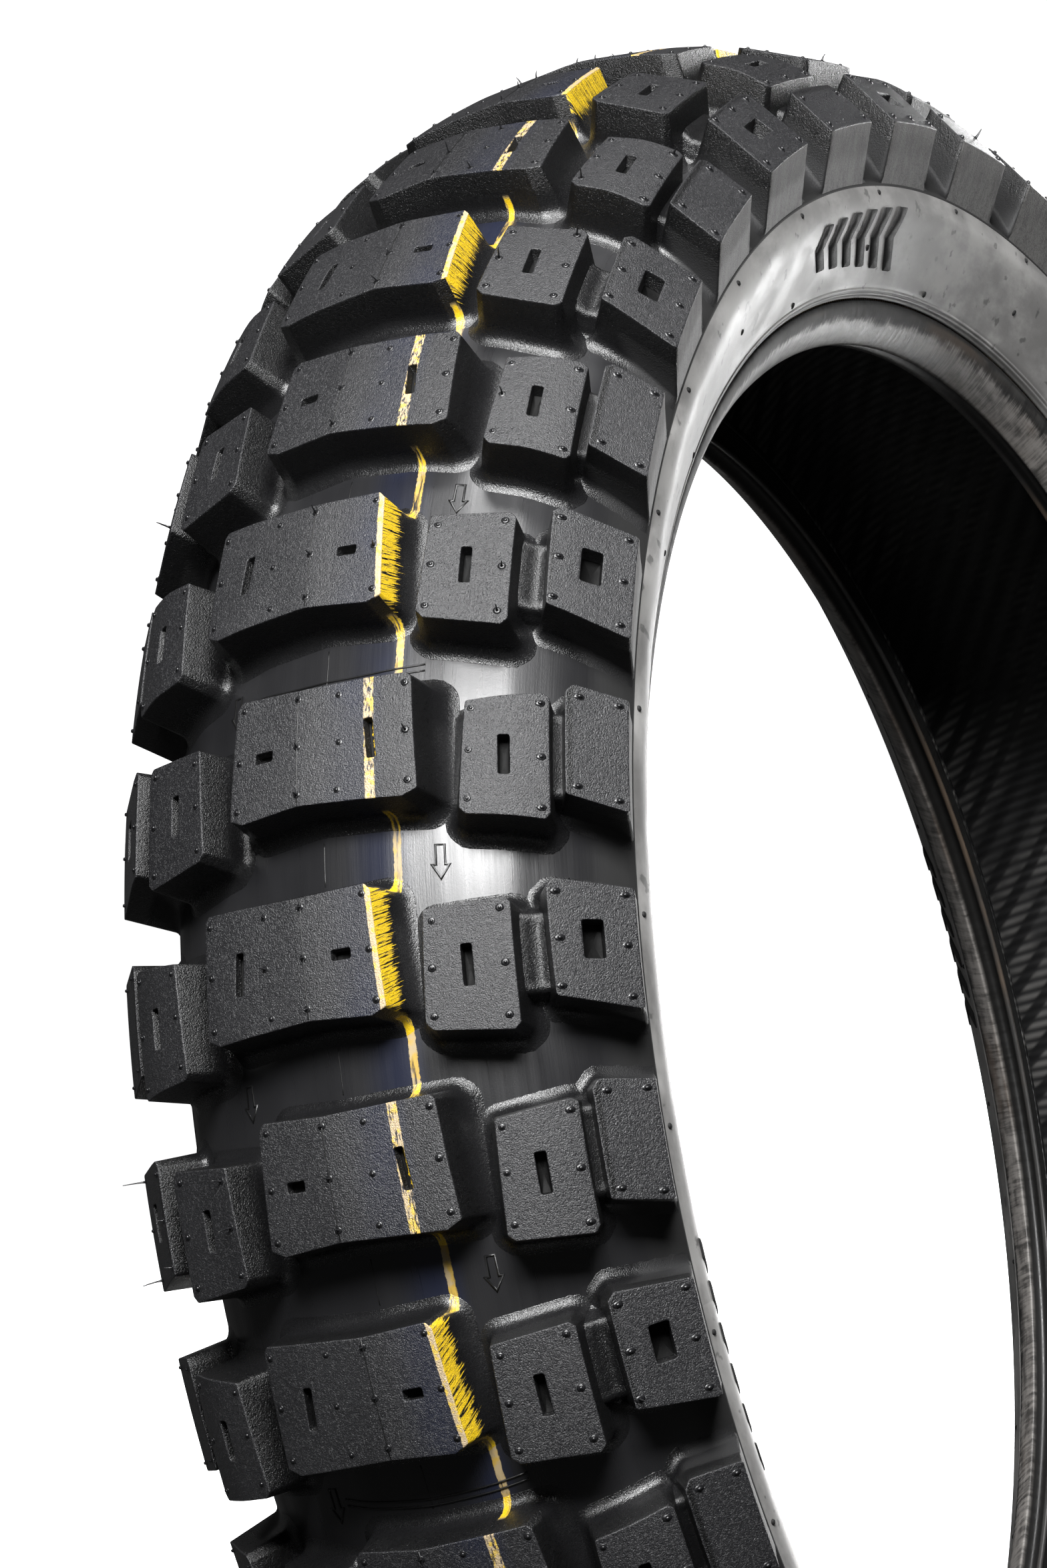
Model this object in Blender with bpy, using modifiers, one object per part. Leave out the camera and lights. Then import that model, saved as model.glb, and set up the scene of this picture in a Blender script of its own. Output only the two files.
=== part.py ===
"""Motorcycle tire, 150/70-18 dual-sport rear: a blocky tread on a belted two-ply casing.

The origin is the centre of the wheel and the axle line is Y.  The tread reaches farthest
along +-X and +-Z.  Every piece is a ring about Y, so its section is given as points
(across, radius): across is the distance from the tire's centre plane towards -Y.
"""

import math

import bmesh
import bpy
from mathutils import Matrix, Vector

MM = 0.001

# Driving dimensions, in metres
ROWS = 36                      # rows of tread blocks, one to a facet of every ring
BEAD_RADIUS = 228.5 * MM       # 18 inch rim seat
BEAD_TOE = 45.4 * MM           # lowest edge of the bead, from the centre plane
BEAD_INSIDE = 41.6 * MM        # inner side of the bead
BEAD_FACE = 54.9 * MM          # outer side of the bead, against the rim flange
BEAD_FACE_TOP = 240.6 * MM
BEAD_FACE_FOOT = 237.0 * MM    # from here the relaxed bead slopes in to its toe
STRIP_SPLIT = 48.4 * MM        # where the rim strip and the toe strip meet on that slope
TREAD_EDGE = 77.1 * MM         # outer end of the shoulder blocks, at their tops
WALL_TOP = 69.3 * MM           # where the sloping ends of the shoulder blocks meet the sidewall
GAP = 0.3 * MM

# Thickness of each layer
TREAD_BASE = 5.35 * MM         # from the casing line out to the inner side of the tread
PLY = 0.7 * MM
BELT = 0.9 * MM
UNDERTREAD = 1.5 * MM
LINER = 1.2 * MM
FLIPPER = 0.5 * MM
CORE_HEIGHT = 5.2 * MM
BLOCK_DRAFT = 0.9 * MM         # how much wider a block is at its foot, on each side
BLOCK_ROOT = 1.0 * MM          # how deep a block's foot is sunk into the tread base

ROW_ANGLE = 2 * math.pi / ROWS
FACET_CORNER = 1 / math.cos(ROW_ANGLE / 2)     # corner radius over mid-facet radius


def millimetres(*points):
    """Section points given in millimetres."""
    return [(across * MM, radius * MM) for across, radius in points]


# Block tops and groove floor, from the centre line out to the tread edge
CROWN_LINE = millimetres((0, 328.0), (20, 325.9), (31, 323.8), (54, 314.2), (63, 307.2), (77.2, 289.5))
FLOOR_LINE = millimetres(
    (0, 314.2), (19, 312), (33, 307.3), (47, 300.5), (58, 291), (65.5, 280.5), (69.3, 272.6))

# Line between the two body plies: crown, shoulder, sidewall, round the bead wires and up again
CASING_LINE = millimetres(
    (0, 306.05), (29.9, 299.8), (46.5, 290.5), (58.6, 276.2), (64.6, 264), (56.2, 254.6), (44, 245.6),
    (44, 237.3), (50.9, 237.3), (50.9, 244.6), (58.7, 252.1))
SHOULDER = 3                   # stations of the casing line, counted from the crown
WIDEST = 4
LOWER_WALL = 5
BEAD_TOP = 6
BEAD_INNER_CORNER = 7
BEAD_OUTER_CORNER = 8
TURNUP_START = 9
TURNUP_END = 10


# ---------------------------------------------------------------- section geometry

def interpolate(line, across):
    """Radius of a section line at a distance from the centre plane."""
    across = abs(across)
    for (x0, y0), (x1, y1) in zip(line, line[1:]):
        if across <= x1:
            return y0 + (y1 - y0) * (across - x0) / (x1 - x0)
    return line[-1][1]


def segment_normal(start, end):
    """Unit normal on the left of a segment: away from the cavity at the crown."""
    direction = (Vector(end) - Vector(start)).normalized()
    return Vector((-direction.y, direction.x))


def offset_point(position, distance):
    """Point beside the casing line; position counts stations, distance is outwards."""
    index = min(int(position), len(CASING_LINE) - 2)
    start = Vector(CASING_LINE[index])
    end = Vector(CASING_LINE[index + 1])
    normal = segment_normal(start, end)
    fraction = position - index
    if fraction > 0 or index == 0:
        if index == 0 and fraction == 0:
            normal = Vector((0, 1))
        return tuple(start.lerp(end, fraction) + normal * distance)
    before = segment_normal(CASING_LINE[index - 1], start)
    bisector = (before + normal).normalized()
    return tuple(start + bisector * (distance / bisector.dot(normal)))


def offset_run(first, last, distance):
    """Offset points from one position to another along the right half of the casing."""
    stations = [s for s in range(len(CASING_LINE)) if first < s < last]
    return [offset_point(s, distance) for s in [first, *stations, last]]


def mirrored(points):
    return [(-across, radius) for across, radius in points]


def band(first, last, inner, outer):
    """Section of a layer on the right side, between two offsets of the casing line."""
    return offset_run(first, last, outer) + offset_run(first, last, inner)[::-1]


def whole_band(last, inner, outer):
    """Section of a layer that runs from one side of the tire to the other."""
    top = offset_run(0, last, outer)
    bottom = offset_run(0, last, inner)
    left = mirrored(top[1:])[::-1]
    left_bottom = mirrored(bottom[1:])
    return left + top + bottom[::-1] + left_bottom


# Layers outward from the casing line at the crown
PLY_INNER_FACE = GAP / 2
PLY_OUTER_FACE = PLY_INNER_FACE + PLY
BELT_2_FACE = PLY_OUTER_FACE + GAP
BELT_1_FACE = BELT_2_FACE + BELT + GAP
UNDERTREAD_FACE = BELT_1_FACE + BELT + GAP
CORE_FACE = BELT_2_FACE + FLIPPER + GAP
RIM_FACE = PLY_OUTER_FACE + GAP
OUTER_BELT_EDGE = 2.35
INNER_BELT_EDGE = 2.6
STATION_GAP = 0.03             # GAP along the casing line, in stations


def bead_core_section():
    """Bundle of bead wires, taller than wide."""
    inner = CASING_LINE[BEAD_TOP][0] + CORE_FACE
    outer = CASING_LINE[TURNUP_START][0] - CORE_FACE
    bottom = CASING_LINE[BEAD_OUTER_CORNER][1] + CORE_FACE
    top = bottom + CORE_HEIGHT
    return [(inner, top), (outer, top), (outer, bottom), (inner, bottom)]


def bead_filler_section():
    """Hard rubber wedge that stands on the bead core between ply and turn-up."""
    inner, top = bead_core_section()[0]
    outer = bead_core_section()[1][0]
    foot = top + GAP
    return [
        (inner, foot),
        offset_point(BEAD_TOP - 0.15, CORE_FACE),
        offset_point(LOWER_WALL + 0.1, CORE_FACE),
        offset_point(TURNUP_END - 0.2, BELT_2_FACE),
        offset_point(TURNUP_START, CORE_FACE),
        (outer, foot),
    ]


def flipper_section():
    """Fabric strip folded under the bead core and up both of its sides."""
    return band(BEAD_TOP, TURNUP_START, BELT_2_FACE, BELT_2_FACE + FLIPPER)


def slope_radius(across):
    """Radius of the bead's slope between its toe and the foot of its outer face."""
    share = (across - BEAD_TOE) / (BEAD_FACE - BEAD_TOE)
    return BEAD_RADIUS + share * (BEAD_FACE_FOOT - BEAD_RADIUS)


def chafer_section():
    """Rim strip: flat outer face of the bead and most of its slope, outside the plies."""
    inner = STRIP_SPLIT + GAP
    return [
        offset_point(TURNUP_START, -RIM_FACE),
        (BEAD_FACE, BEAD_FACE_TOP),
        (BEAD_FACE, BEAD_FACE_FOOT),
        (inner, slope_radius(inner)),
        (inner, offset_point(BEAD_OUTER_CORNER, -RIM_FACE)[1]),
        offset_point(BEAD_OUTER_CORNER, -RIM_FACE),
    ]


def toe_strip_section():
    """Gum strip that forms the bead toe and laps up the inner side of the bead."""
    under = offset_point(BEAD_INNER_CORNER, -RIM_FACE)
    top = BEAD_FACE_TOP + 2.2 * MM
    return [
        (under[0], top),
        under,
        (STRIP_SPLIT, under[1]),
        (STRIP_SPLIT, slope_radius(STRIP_SPLIT)),
        (BEAD_TOE + 0.4 * MM, BEAD_RADIUS),
        (BEAD_TOE - 0.4 * MM, BEAD_RADIUS + 0.4 * MM),
        (BEAD_INSIDE, under[1] - 1 * MM),
        (BEAD_INSIDE, top),
    ]


def sidewall_section():
    """Sidewall rubber, from under the tread edge down to the rim strip."""
    outer = millimetres((69.4, 270.3), (69.3, 265.5), (66.7, 259.8), (63, 253.4), (57.8, 244.4), (55.3, 241.1))
    return outer + [
        offset_point(TURNUP_START + 0.08, -RIM_FACE),
        offset_point(TURNUP_END + STATION_GAP, -RIM_FACE),
        offset_point(TURNUP_END + STATION_GAP, CORE_FACE),
        offset_point(WIDEST + 0.55, BELT_2_FACE),
        offset_point(WIDEST, BELT_2_FACE),
        offset_point(SHOULDER + 0.2, BELT_2_FACE),
    ]


def cushion_section():
    """Wedge under the belt edges."""
    return [
        offset_point(OUTER_BELT_EDGE + STATION_GAP, BELT_1_FACE),
        offset_point(OUTER_BELT_EDGE + STATION_GAP, BELT_1_FACE + BELT),
        offset_point(SHOULDER, BELT_1_FACE + BELT),
        offset_point(SHOULDER, BELT_2_FACE),
        offset_point(INNER_BELT_EDGE + STATION_GAP, BELT_2_FACE),
        offset_point(INNER_BELT_EDGE + STATION_GAP, BELT_1_FACE),
    ]


def tread_base_section():
    """Tread rubber below the blocks, from one tread edge to the other."""
    right = FLOOR_LINE + [
        (WALL_TOP + 0.2 * MM, FLOOR_LINE[-1][1] - 2 * MM),
        offset_point(SHOULDER + 0.16, BELT_2_FACE),
        offset_point(SHOULDER + STATION_GAP, BELT_2_FACE),
        offset_point(SHOULDER + STATION_GAP, TREAD_BASE),
    ] + offset_run(0, SHOULDER, TREAD_BASE)[::-1]
    return right + mirrored(right[1:-1])[::-1]


# ---------------------------------------------------------------- pieces

def rubber(name, grey, roughness):
    return material(name, (grey, grey, grey * 1.08), roughness)


def material(name, colour, roughness, metallic=0.0):
    """Plain Principled material."""
    made = bpy.data.materials.new(name)
    made.use_nodes = True
    shader = made.node_tree.nodes["Principled BSDF"]
    shader.inputs["Base Color"].default_value = (*colour, 1.0)
    shader.inputs["Roughness"].default_value = roughness
    shader.inputs["Metallic"].default_value = metallic
    return made


def wheel_matrix():
    """Turn a ring about local Z onto the axle line, with a facet centre on -X."""
    return Matrix.Rotation(-ROW_ANGLE / 2, 4, "Y") @ Matrix.Rotation(math.pi / 2, 4, "X")


def clockwise(points):
    """Order the points so that the section's outer side runs from top to bottom."""
    area = sum(
        x0 * y1 - x1 * y0
        for (y0, x0), (y1, x1) in zip(points, points[1:] + points[:1]))
    return points if area < 0 else points[::-1]


def ring(name, section, look, collection):
    """Turn a closed section about the axle line; facets touch the section's radii."""
    mesh = bpy.data.meshes.new(name)
    points = clockwise(section)
    vertices = [(radius * FACET_CORNER, 0, across) for across, radius in points]
    edges = [(i, (i + 1) % len(points)) for i in range(len(points))]
    mesh.from_pydata(vertices, edges, [])
    made = bpy.data.objects.new(name, mesh)
    collection.objects.link(made)
    made.matrix_world = wheel_matrix()
    mesh.materials.append(look)
    screw = made.modifiers.new("Turn", "SCREW")
    screw.axis = "Z"
    screw.angle = 2 * math.pi
    screw.steps = ROWS
    screw.render_steps = ROWS
    screw.use_merge_vertices = True
    screw.merge_threshold = 0.00005
    return made


def pair(name, section, look, collection):
    """The same ring on both sides: across is positive on the right, towards -Y."""
    ring(f"{name}_right", section, look, collection)
    ring(f"{name}_left", mirrored(section), look, collection)


# ---------------------------------------------------------------- tread blocks

def block_outline(left, right, top, bottom):
    """Block top in plan, in millimetres: across on both sides, along on both ends.

    left, right, top and bottom are pairs, so that no two sides need to be parallel.
    """
    return [
        (left[0], top[0]),
        (right[0], top[1]),
        (right[1], bottom[1]),
        (left[1], bottom[0]),
    ]


# One row of blocks; the next row is its mirror image.  Along runs round the tire, towards
# -Z on the -X side, from the middle of the row.
CENTRE_BLOCK = [(-30.6, -17.1), (0, -16.3), (19.2, -17.2), (21.4, 17.4), (0, 16.3), (-32.6, 17.6)]
RIGHT_INNER = block_outline((32.4, 31.7), (53.5, 53.5), (-8.0, -9.3), (23.5, 25.0))
RIGHT_SHOULDER = block_outline((61.7, 61.4), (77.1, 77.1), (-13.2, -11.0), (17.1, 20.7))
LEFT_INNER = block_outline((-43.8, -43.2), (-62.8, -62.8), (-8.0, -10.2), (23.3, 24.4))
LEFT_SHOULDER = block_outline((-66.3, -66.0), (-77.1, -77.1), (-13.8, -12.0), (16.8, 19.4))

# Each outline with its lean: how far the foot is moved towards the centre plane for each unit of
# height, because the blocks stand square to the curve of the tread.
ROW_BLOCKS = [
    (CENTRE_BLOCK, 0),
    (RIGHT_INNER, 0.33),
    (RIGHT_SHOULDER, 0.6),
    (LEFT_INNER, 0.5),
    (LEFT_SHOULDER, 0.55),
]


def lean_shift(across, lean):
    """How far sideways a leaning line from the block top meets the groove floor."""
    height = 0
    shift = 0
    while interpolate(CROWN_LINE, across) - height > interpolate(FLOOR_LINE, across + shift):
        height += 0.1 * MM
        shift = -math.copysign(lean * height, across)
    return shift


def foot_outline(outline, lean):
    """Plan of a block's foot: the outline, widened by the draft and moved in by the lean.

    The end at the tread edge slopes in to the top of the sidewall instead.
    """
    middle = sum(across for across, _ in outline) / len(outline)
    centre = sum(along for _, along in outline) / len(outline)
    wider = []
    for across, along in outline:
        sideways = lean_shift(across, lean)
        if abs(across) > GAP:
            sideways += math.copysign(BLOCK_DRAFT, across - middle)
        if abs(across) >= TREAD_EDGE - GAP:
            sideways = -math.copysign(TREAD_EDGE - WALL_TOP + 2 * GAP, across)
        wider.append((across + sideways, along + math.copysign(BLOCK_DRAFT, along - centre)))
    return wider


def place(across, height, along, row):
    """Point of a row in world space: height is its distance from the axle line."""
    turn = Matrix.Rotation(-row * ROW_ANGLE, 4, "Y")
    return turn @ Vector((-height, -across, -along))


def loft_block(mesh, outline, lean, row, flip):
    """Add one tapered block, from its foot in the tread base up to its top."""
    side = -1 if flip else 1
    feet = [
        mesh.verts.new(place(side * x, interpolate(FLOOR_LINE, x) - BLOCK_ROOT, y, row))
        for x, y in foot_outline(outline, lean)]
    tops = [mesh.verts.new(place(side * x, interpolate(CROWN_LINE, x), y, row)) for x, y in outline]
    count = len(outline)
    for i in range(count):
        mesh.faces.new((feet[i], feet[(i + 1) % count], tops[(i + 1) % count], tops[i]))
    # The centre block is bent along the crown line, so its top and its foot are two flat faces each
    caps = ((0, 1, 4, 5), (1, 2, 3, 4)) if count == 6 else (range(count),)
    for corners in (tops, feet):
        for cap in caps:
            mesh.faces.new([corners[i] for i in cap])


def tread_blocks(collection):
    """All blocks of the tread as one mesh, used to build up the tread base."""
    mesh = bmesh.new()
    for row in range(ROWS):
        for outline, lean in ROW_BLOCKS:
            metres = [(x * MM, y * MM) for x, y in outline]
            loft_block(mesh, metres, lean, row, flip=row % 2 == 1)
    bmesh.ops.recalc_face_normals(mesh, faces=mesh.faces)
    data = bpy.data.meshes.new("tread_blocks")
    mesh.to_mesh(data)
    mesh.free()
    made = bpy.data.objects.new("tread_blocks", data)
    collection.objects.link(made)
    made.hide_render = True
    made.display_type = "WIRE"
    return made


def build_tread(parts, guides):
    base = ring("tread", tread_base_section(), rubber("tread_rubber", 0.018, 0.55), parts)
    join = base.modifiers.new("Blocks", "BOOLEAN")
    join.operation = "UNION"
    join.solver = "EXACT"
    join.object = tread_blocks(guides)


def build_crown(parts):
    """Undertread, two belts and the cushions under the belt edges."""
    undertread = whole_band(SHOULDER, UNDERTREAD_FACE, UNDERTREAD_FACE + UNDERTREAD)
    outer_belt = whole_band(OUTER_BELT_EDGE, BELT_1_FACE, BELT_1_FACE + BELT)
    inner_belt = whole_band(INNER_BELT_EDGE, BELT_2_FACE, BELT_2_FACE + BELT)
    belt_cord = material("belt_cord", (0.42, 0.30, 0.10), 0.7)
    ring("undertread", undertread, rubber("undertread_rubber", 0.03, 0.6), parts)
    ring("belt_outer", outer_belt, belt_cord, parts)
    ring("belt_inner", inner_belt, belt_cord, parts)
    pair("belt_edge_cushion", cushion_section(), rubber("cushion_rubber", 0.05, 0.6), parts)


def build_casing(parts):
    """Two body plies turned up round the beads, the liner and the sidewalls."""
    ply_cord = material("ply_cord", (0.30, 0.20, 0.13), 0.75)
    outer_ply = whole_band(TURNUP_END, PLY_INNER_FACE, PLY_OUTER_FACE)
    inner_ply = whole_band(TURNUP_END, -PLY_OUTER_FACE, -PLY_INNER_FACE)
    liner = whole_band(BEAD_TOP + 0.25, -RIM_FACE - LINER, -RIM_FACE)
    ring("body_ply_outer", outer_ply, ply_cord, parts)
    ring("body_ply_inner", inner_ply, ply_cord, parts)
    ring("inner_liner", liner, rubber("liner_rubber", 0.012, 0.45), parts)
    pair("sidewall", sidewall_section(), rubber("sidewall_rubber", 0.025, 0.5), parts)


def build_beads(parts):
    """Bead wires with their filler and flipper, and the strips that meet the rim."""
    wire = material("bead_wire", (0.45, 0.32, 0.16), 0.35, metallic=1.0)
    pair("bead_core", bead_core_section(), wire, parts)
    pair("bead_filler", bead_filler_section(), rubber("filler_rubber", 0.04, 0.5), parts)
    pair("bead_flipper", flipper_section(), material("flipper_fabric", (0.22, 0.18, 0.12), 0.8), parts)
    pair("rim_strip", chafer_section(), rubber("rim_strip_rubber", 0.022, 0.4), parts)
    pair("toe_strip", toe_strip_section(), rubber("toe_rubber", 0.02, 0.45), parts)


def main():
    for old in list(bpy.data.objects):
        bpy.data.objects.remove(old, do_unlink=True)
    parts = bpy.data.collections.new("motorcycle_tire")
    guides = bpy.data.collections.new("cutters")
    bpy.context.scene.collection.children.link(parts)
    bpy.context.scene.collection.children.link(guides)
    build_tread(parts, guides)
    build_crown(parts)
    build_casing(parts)
    build_beads(parts)


main()
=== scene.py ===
"""Looks of the motorcycle tire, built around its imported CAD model.

Lengths on the tire are in millimetres and are given as (across, along, radius): across is the
distance from the centre plane towards -Y, along runs round the tire from the middle of a row,
towards -Z on the -X side.  The origin is the wheel centre and the axle line is Y.
"""

import math

import bpy
import numpy as np
from mathutils import Matrix, Vector
from mathutils.geometry import delaunay_2d_cdt


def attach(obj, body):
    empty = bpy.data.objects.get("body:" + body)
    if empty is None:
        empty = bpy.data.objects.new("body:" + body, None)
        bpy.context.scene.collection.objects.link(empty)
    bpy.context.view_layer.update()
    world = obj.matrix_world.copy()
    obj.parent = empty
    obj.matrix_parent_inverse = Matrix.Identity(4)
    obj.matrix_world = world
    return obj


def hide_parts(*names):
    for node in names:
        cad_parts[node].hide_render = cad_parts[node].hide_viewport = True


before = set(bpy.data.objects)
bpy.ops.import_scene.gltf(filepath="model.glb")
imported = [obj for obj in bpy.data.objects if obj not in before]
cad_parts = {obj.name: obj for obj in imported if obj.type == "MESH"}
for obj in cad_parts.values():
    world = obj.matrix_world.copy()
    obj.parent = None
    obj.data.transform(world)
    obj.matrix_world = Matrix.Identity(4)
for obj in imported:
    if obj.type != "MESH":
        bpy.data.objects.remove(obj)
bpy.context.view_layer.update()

MM = 0.001
ROWS = 36
ROW_ANGLE = 2 * math.pi / ROWS

# Section lines of the tread, as (across, radius)
CROWN = np.array([(0, 328.0), (20, 325.9), (31, 323.6), (54, 314.2), (63, 307.2), (77.1, 289.5)])
FLOOR = np.array([(0, 314.2), (19, 312.0), (33, 307.3), (47, 300.5), (58, 291.0), (65.5, 280.5),
                  (69.0, 272.6)])
EDGE_ACROSS = 77.1             # outer end of the shoulder blocks at their tops
EDGE_RADIUS = 289.5
WALL_ACROSS = 68.8             # where their sloping ends reach the sidewall
WALL_RADIUS = 272.2

DRAFT = 1.1                    # how far a block's wall leans out, over its height
ROOT = 4.0                     # radius of the concave root of a block
BEVEL = 0.22                   # rounding of the edges of the block tops
SUPPORT = 0.35                 # flat border inside the rounding
SLOT_BEVEL = 0.15              # rounding of the edges of the slots
SLOT_TAPER = 0.4               # how much narrower a slot's bottom is on each side
TIE_BAR_DROP = 8.0             # added to a tie bar's drop, so that it looks like the foot of a block

rng = np.random.default_rng(18)


# ---------------------------------------------------------------- section lines

def line_value(line, across, blur=3.0):
    """Radius of a section line, its corners smoothed over a short width."""
    across = np.abs(np.asarray(across, float))
    end, before = line[-1], line[-2]
    slope = (end[1] - before[1]) / (end[0] - before[0])
    total = 0
    shifts = np.linspace(-blur, blur, 9)
    for shift in shifts:
        x = np.abs(across + shift)
        value = np.interp(x, line[:, 0], line[:, 1])
        total = total + value + np.maximum(x - end[0], 0) * slope
    return total / len(shifts)


def crown(across):
    return line_value(CROWN, across)


def floor(across):
    return line_value(FLOOR, across)


def cut_across(radius):
    """How far out the sloping end of the shoulder blocks is at a radius."""
    share = (EDGE_RADIUS - radius) / (EDGE_RADIUS - WALL_RADIUS)
    return EDGE_ACROSS - share * (EDGE_ACROSS - WALL_ACROSS)


# ---------------------------------------------------------------- outlines in plan

def signed_area(points):
    x, y = points.T
    return 0.5 * np.sum(x * np.roll(y, -1) - y * np.roll(x, -1))


def unit(vectors):
    return vectors / np.linalg.norm(vectors, axis=-1, keepdims=True)


def right_of(ahead):
    """Directions a quarter turn to the right of the given ones."""
    return np.stack([ahead[..., 1], -ahead[..., 0]], -1)


def extended(path):
    """A path with one more point at each end, straight on from its first and last pieces."""
    return np.array([2 * path[0] - path[1], *path, 2 * path[-1] - path[-2]])


def rounded(corners, radius, step=2.6):
    """Closed counter-clockwise outline with rounded corners, and its outward normals."""
    corners = np.array(corners, float)
    if signed_area(corners) < 0:
        corners = corners[::-1]
    ahead = unit(np.roll(corners, -1, 0) - corners)
    behind = np.roll(ahead, 1, 0)
    turns = np.arctan2(behind[:, 0] * ahead[:, 1] - behind[:, 1] * ahead[:, 0], (behind * ahead).sum(1))
    cuts = np.where(turns > 0.1, radius * np.tan(np.abs(turns) / 2), 0.0)
    points, normals = [], []
    for i, (here, come, go, turn, cut) in enumerate(zip(corners, behind, ahead, turns, cuts)):
        n0, n1 = right_of(come), right_of(go)
        if cut > 0:
            centre = here - come * cut - n0 * radius
            for angle in np.linspace(0, turn, max(2, round(turn / 0.4)) + 1):
                n = n0 * math.cos(angle) + come * math.sin(angle)
                points.append(centre + n * radius)
                normals.append(n)
        else:
            n = unit(n0 + n1)
            points.append(here)
            normals.append(n / (n @ n1))
        following = (i + 1) % len(corners)
        start = here + go * cut
        end = corners[following] - go * cuts[following]
        pieces = max(1, round(np.linalg.norm(end - start) / step))
        for k in range(1, pieces):
            points.append(start + (end - start) * k / pieces)
            normals.append(n1)
    return np.array(points), np.array(normals)


def inside(points, polygon):
    """Which of the points are inside a polygon."""
    x, y = points.T
    result = np.zeros(len(points), bool)
    for a, b, c, d in zip(*polygon.T, *np.roll(polygon, -1, 0).T):
        result ^= ((b > y) != (d > y)) & (x < (c - a) * (y - b) / (d - b + 1e-12) + a)
    return result


def near(points, polygon, distance):
    """Which of the points are close to a polygon's sides."""
    close = np.zeros(len(points), bool)
    for a, b in zip(polygon, np.roll(polygon, -1, 0)):
        d = b - a
        share = np.clip(((points - a) @ d) / max(d @ d, 1e-12), 0, 1)
        close |= np.linalg.norm(points - a - share[:, None] * d, axis=1) < distance
    return close


def fill(outer, holes, step=3.2):
    """Triangles between an outline and its holes, and the points that it adds inside.

    The triangles count the outline's points first, then those of the holes, then the added ones.
    """
    low, high = outer.min(0), outer.max(0)
    grid = np.stack(np.meshgrid(
        np.arange(low[0] + step / 2, high[0], step),
        np.arange(low[1] + step / 2, high[1], step)), -1).reshape(-1, 2)
    keep = inside(grid, outer) & ~near(grid, outer, 1.2)
    for hole in holes:
        keep &= ~inside(grid, hole) & ~near(grid, hole, 1.0)
    grid = grid[keep]
    loops = [outer, *holes]
    given = np.concatenate([*loops, grid])
    edges, start = [], 0
    for loop in loops:
        n = len(loop)
        edges += [(start + i, start + (i + 1) % n) for i in range(n)]
        start += n
    _, _, faces, origin, *_ = delaunay_2d_cdt([Vector(p) for p in given], edges, [], 0, 1e-6, True)
    index = [o[0] if o else -1 for o in origin]
    triangles = np.array([[index[v] for v in f] for f in faces])
    triangles = triangles[(triangles >= 0).all(1)]
    middle = given[triangles].mean(1)
    keep = inside(middle, outer)
    for hole in holes:
        keep &= ~inside(middle, hole)
    triangles = triangles[keep]
    a, b, c = (given[triangles[:, k]] for k in range(3))
    area = (b[:, 0] - a[:, 0]) * (c[:, 1] - a[:, 1]) - (b[:, 1] - a[:, 1]) * (c[:, 0] - a[:, 0])
    triangles[area < 0] = triangles[area < 0][:, ::-1]
    slivers = np.abs(area) < 1e-5
    return triangles[~slivers], grid


# ---------------------------------------------------------------- shells

# along: mm from the middle of the row; drop: mm below the block's top; face: 1 on a block's end at the
# tread edge, -1 in a slot; odd: 1 on mirrored rows; shade: a random share for each block
VALUE_NAMES = ("along", "drop", "face", "odd", "shade")


class Shell:
    """Points (across, angle, radius) and faces of a piece, and five values for each point."""

    def __init__(self):
        self.points, self.quads, self.triangles, self.values = [], [], [], []
        self.count = 0

    def add(self, points, quads, triangles, values=None, flip=False):
        """Add a body; flip turns its faces over."""
        if values is None:
            values = np.zeros((len(points), len(VALUE_NAMES)))
        if flip:
            quads, triangles = quads[:, ::-1], triangles[:, ::-1]
        self.points.append(points)
        self.values.append(values)
        self.quads.append(quads + self.count)
        self.triangles.append(triangles + self.count)
        self.count += len(points)

    def add_turned(self, template, row, side):
        """Add a template at a row; side -1 mirrors it in the centre plane.

        Templates face outwards where across, along and radius form a right-handed frame.  On
        the tire they form a left-handed one, so it is the other side that needs no flip.
        """
        points, quads, triangles, values = template
        points = points.copy()
        points[:, 0] *= side
        points[:, 1] += row * ROW_ANGLE
        values = values.copy()
        values[:, VALUE_NAMES.index("odd")] = row % 2
        values[:, VALUE_NAMES.index("shade")] = rng.random()
        self.add(points, quads, triangles, values, flip=side > 0)


NO_FACES = np.zeros((0, 3), int)


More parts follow.
